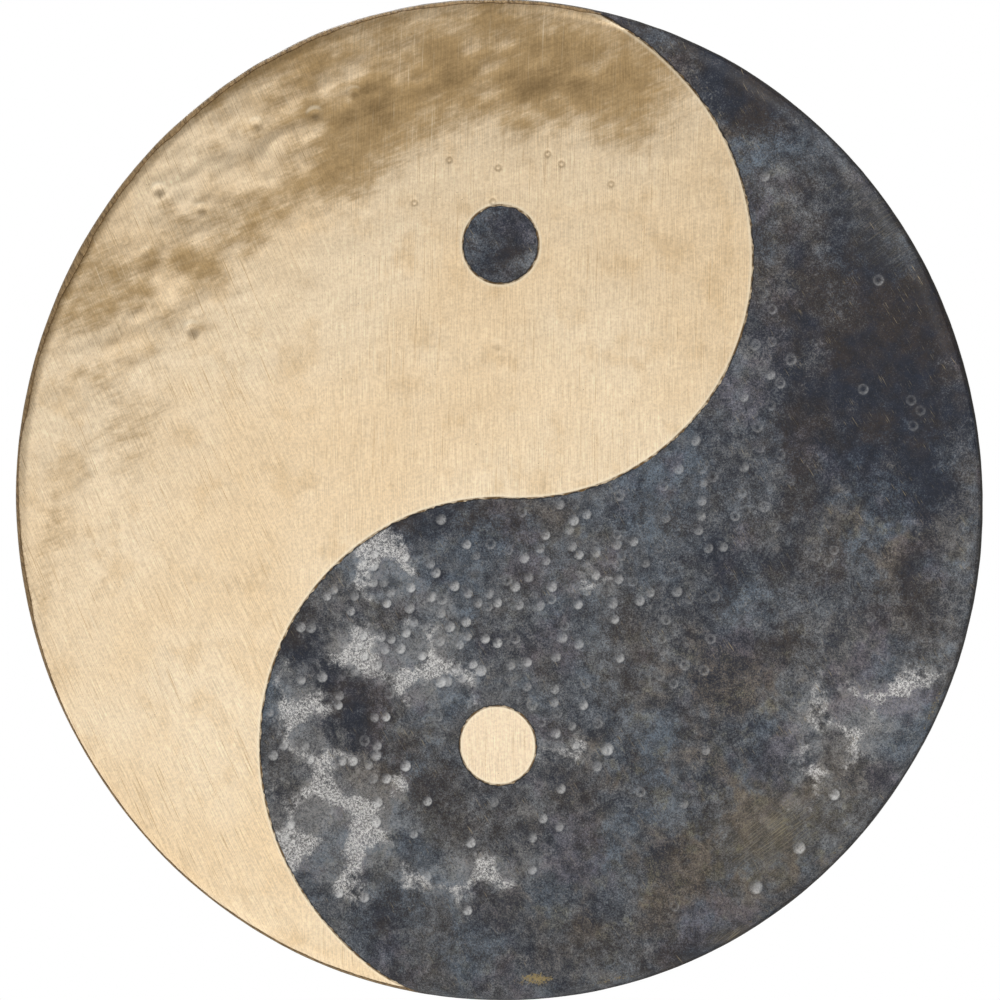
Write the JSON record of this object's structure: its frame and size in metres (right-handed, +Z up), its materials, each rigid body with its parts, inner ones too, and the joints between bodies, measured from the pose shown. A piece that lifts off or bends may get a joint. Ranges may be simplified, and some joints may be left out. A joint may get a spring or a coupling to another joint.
{
  "type": "tam tam gong",
  "caption": "Round hammered bronze tam tam gong with a turned-back rim, holes for a hanging cord, and bright and dark areas that interlock on its face.",
  "frame": {"origin": "on the gong's axis, half way through its depth, which is the centre of its box", "axes": "+Z up as the gong hangs, with the holes at the top; the face looks along -Y and the rim turns back towards +Y"},
  "size_m": [0.7, 0.058, 0.7],
  "materials": {
    "bright_bronze": "satin",
    "field_crust": "matte",
    "eye_crust": "matte",
    "rim_crust": "matte",
    "back_crust": "matte"
  },
  "bodies": {
    "root": {"bronze_sheet": "bright_bronze", "dark_field": "field_crust", "dark_eye": "eye_crust", "rim_crust": "rim_crust", "back_crust": "back_crust"}
  },
  "joints": []
}
